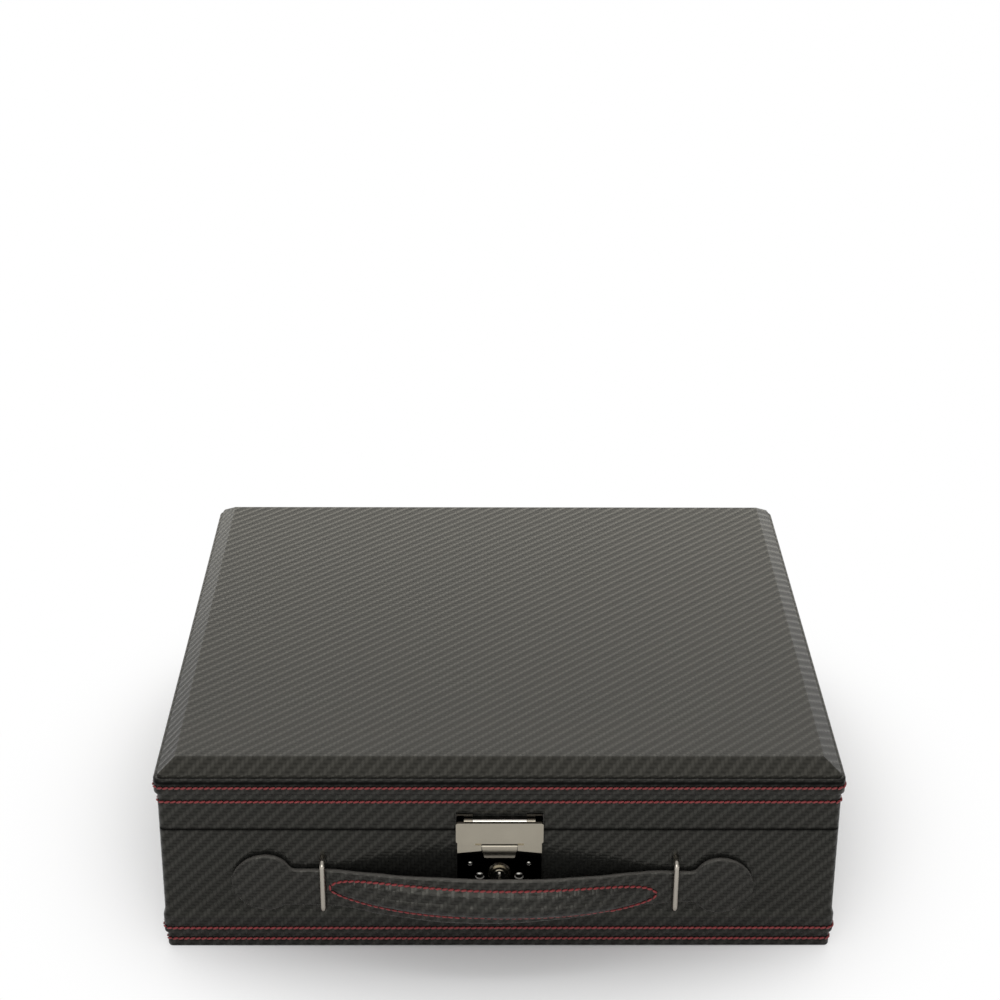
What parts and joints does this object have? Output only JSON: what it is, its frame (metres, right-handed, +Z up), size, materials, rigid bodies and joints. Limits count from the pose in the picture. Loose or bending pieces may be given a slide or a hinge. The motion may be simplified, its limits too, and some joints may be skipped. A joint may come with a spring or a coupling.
{
  "type": "watch box",
  "caption": "Leatherette-covered watch box with a bevelled hinged lid, padded compartments, a key-locked hasp and a sliding strap handle.",
  "frame": {"origin": "centre of the underside, on the surface that the box stands on", "axes": "+Z up, -Y towards the front with the hasp and handle, +X to the right seen from the front"},
  "size_m": [0.34, 0.3346, 0.1075],
  "materials": {
    "board": "raw medium-density board",
    "wall_leatherette": "embossed twill leatherette, satin",
    "trim_leatherette": "embossed twill leatherette, padded, satin",
    "top_leatherette": "embossed twill leatherette, satin",
    "lining": "suede lining, matt",
    "divider_velvet": "suede-covered board, matt",
    "cushion_velvet": "suede cushion, matt",
    "hinge_steel": "satin nickel plated",
    "dark_nickel": "black nickel, mirror polished",
    "bright_nickel": "nickel plated, polished",
    "key_nickel": "nickel plated, polished",
    "case_steel": "zinc plated pressed steel",
    "bolt_brass": "plain brass",
    "handle_leatherette": "embossed twill leatherette, padded"
  },
  "bodies": {
    "base": {"base_frame": "board", "base_floor": "board", "base_cover": "wall_leatherette", "foot_band": "trim_leatherette", "plinth_cover": "trim_leatherette", "base_lining": "lining", "divider_long_front": "divider_velvet", "divider_long_back": "divider_velvet", "divider_short_1": "divider_velvet", "divider_short_2": "divider_velvet", "divider_short_3": "divider_velvet", "divider_short_4": "divider_velvet", "divider_short_5": "divider_velvet", "pillow_back_1": "cushion_velvet", "pillow_back_2": "cushion_velvet", "pillow_back_3": "cushion_velvet", "pillow_back_4": "cushion_velvet", "pillow_back_5": "cushion_velvet", "pillow_back_6": "cushion_velvet", "pillow_middle_1": "cushion_velvet", "pillow_middle_2": "cushion_velvet", "pillow_middle_3": "cushion_velvet", "pillow_middle_4": "cushion_velvet", "pillow_middle_5": "cushion_velvet", "pillow_middle_6": "cushion_velvet", "hinge_base_leaf_left": "hinge_steel", "hinge_base_leaf_right": "hinge_steel", "hinge_pin_left": "hinge_steel", "hinge_pin_right": "hinge_steel", "hinge_base_screws": "hinge_steel", "lock_plate": "dark_nickel", "lock_case": "case_steel", "key_collar": "bright_nickel", "lock_screws": "bright_nickel", "handle_loop_left": "bright_nickel", "handle_loop_right": "bright_nickel"},
    "lid": {"lid_frame": "board", "lid_top_board": "board", "lid_top_skin": "top_leatherette", "lid_cover": "wall_leatherette", "lid_lip": "trim_leatherette", "lid_lining": "lining", "lid_pad": "cushion_velvet", "hinge_lid_leaf_left": "hinge_steel", "hinge_lid_leaf_right": "hinge_steel", "hinge_lid_screws": "hinge_steel", "hasp_plate": "dark_nickel", "hasp_rivets": "bright_nickel", "hasp_pin": "bright_nickel"},
    "hasp_flap": {"hasp_flap": "bright_nickel", "hasp_lug": "bright_nickel", "lever_pin": "bright_nickel"},
    "lift_lever": {"lift_lever": "bright_nickel"},
    "key_cylinder": {"key_cylinder": "key_nickel"},
    "lock_bolt": {"lock_bolt": "bolt_brass"},
    "handle_grip": {"handle_grip": "handle_leatherette"},
    "handle_tab_left": {"handle_tab_left": "handle_leatherette"},
    "handle_tab_right": {"handle_tab_right": "handle_leatherette"}
  },
  "joints": [
    {"name": "lid_hinge", "type": "hinge", "parent": "base", "child": "lid", "pos_m": [0, 0.1573, 0.0708], "axis": [-1, 0, 0], "range_deg": [0, 96]},
    {"name": "hasp_hinge", "type": "hinge", "parent": "lid", "child": "hasp_flap", "pos_m": [0, -0.1572, 0.0774], "axis": [-1, 0, 0], "range_deg": [0, 100]},
    {"name": "lever_lift", "type": "hinge", "parent": "hasp_flap", "child": "lift_lever", "pos_m": [0, -0.1596, 0.0643], "axis": [-1, 0, 0], "range_deg": [0, 35], "stiffness_Nm_per_rad": 0.02},
    {"name": "bolt_slide", "type": "slide", "parent": "base", "child": "lock_bolt", "axis": [1, 0, 0], "range_m": [0, 0.00495]},
    {"name": "key_turn", "type": "hinge", "parent": "base", "child": "key_cylinder", "pos_m": [0, -0.1545, 0.0462], "axis": [0, 1, 0], "range_deg": [0, 90]},
    {"name": "grip_pull", "type": "slide", "parent": "base", "child": "handle_grip", "axis": [0.1483, -0.9889, 0], "range_m": [0, 0.02022]},
    {"name": "left_tab_slide", "type": "slide", "parent": "handle_grip", "child": "handle_tab_left", "axis": [0.5145, 0.8575, 0], "range_m": [0, 0.02334]},
    {"name": "right_tab_slide", "type": "slide", "parent": "handle_grip", "child": "handle_tab_right", "axis": [-0.5145, 0.8575, 0], "range_m": [0, 0.02334]}
  ],
  "couplings": [
    {"joint": "key_turn", "follows": "bolt_slide", "rad_per_m": 317.33},
    {"joint": "left_tab_slide", "follows": "grip_pull", "ratio": 1.1533},
    {"joint": "right_tab_slide", "follows": "grip_pull", "ratio": 1.1533}
  ]
}
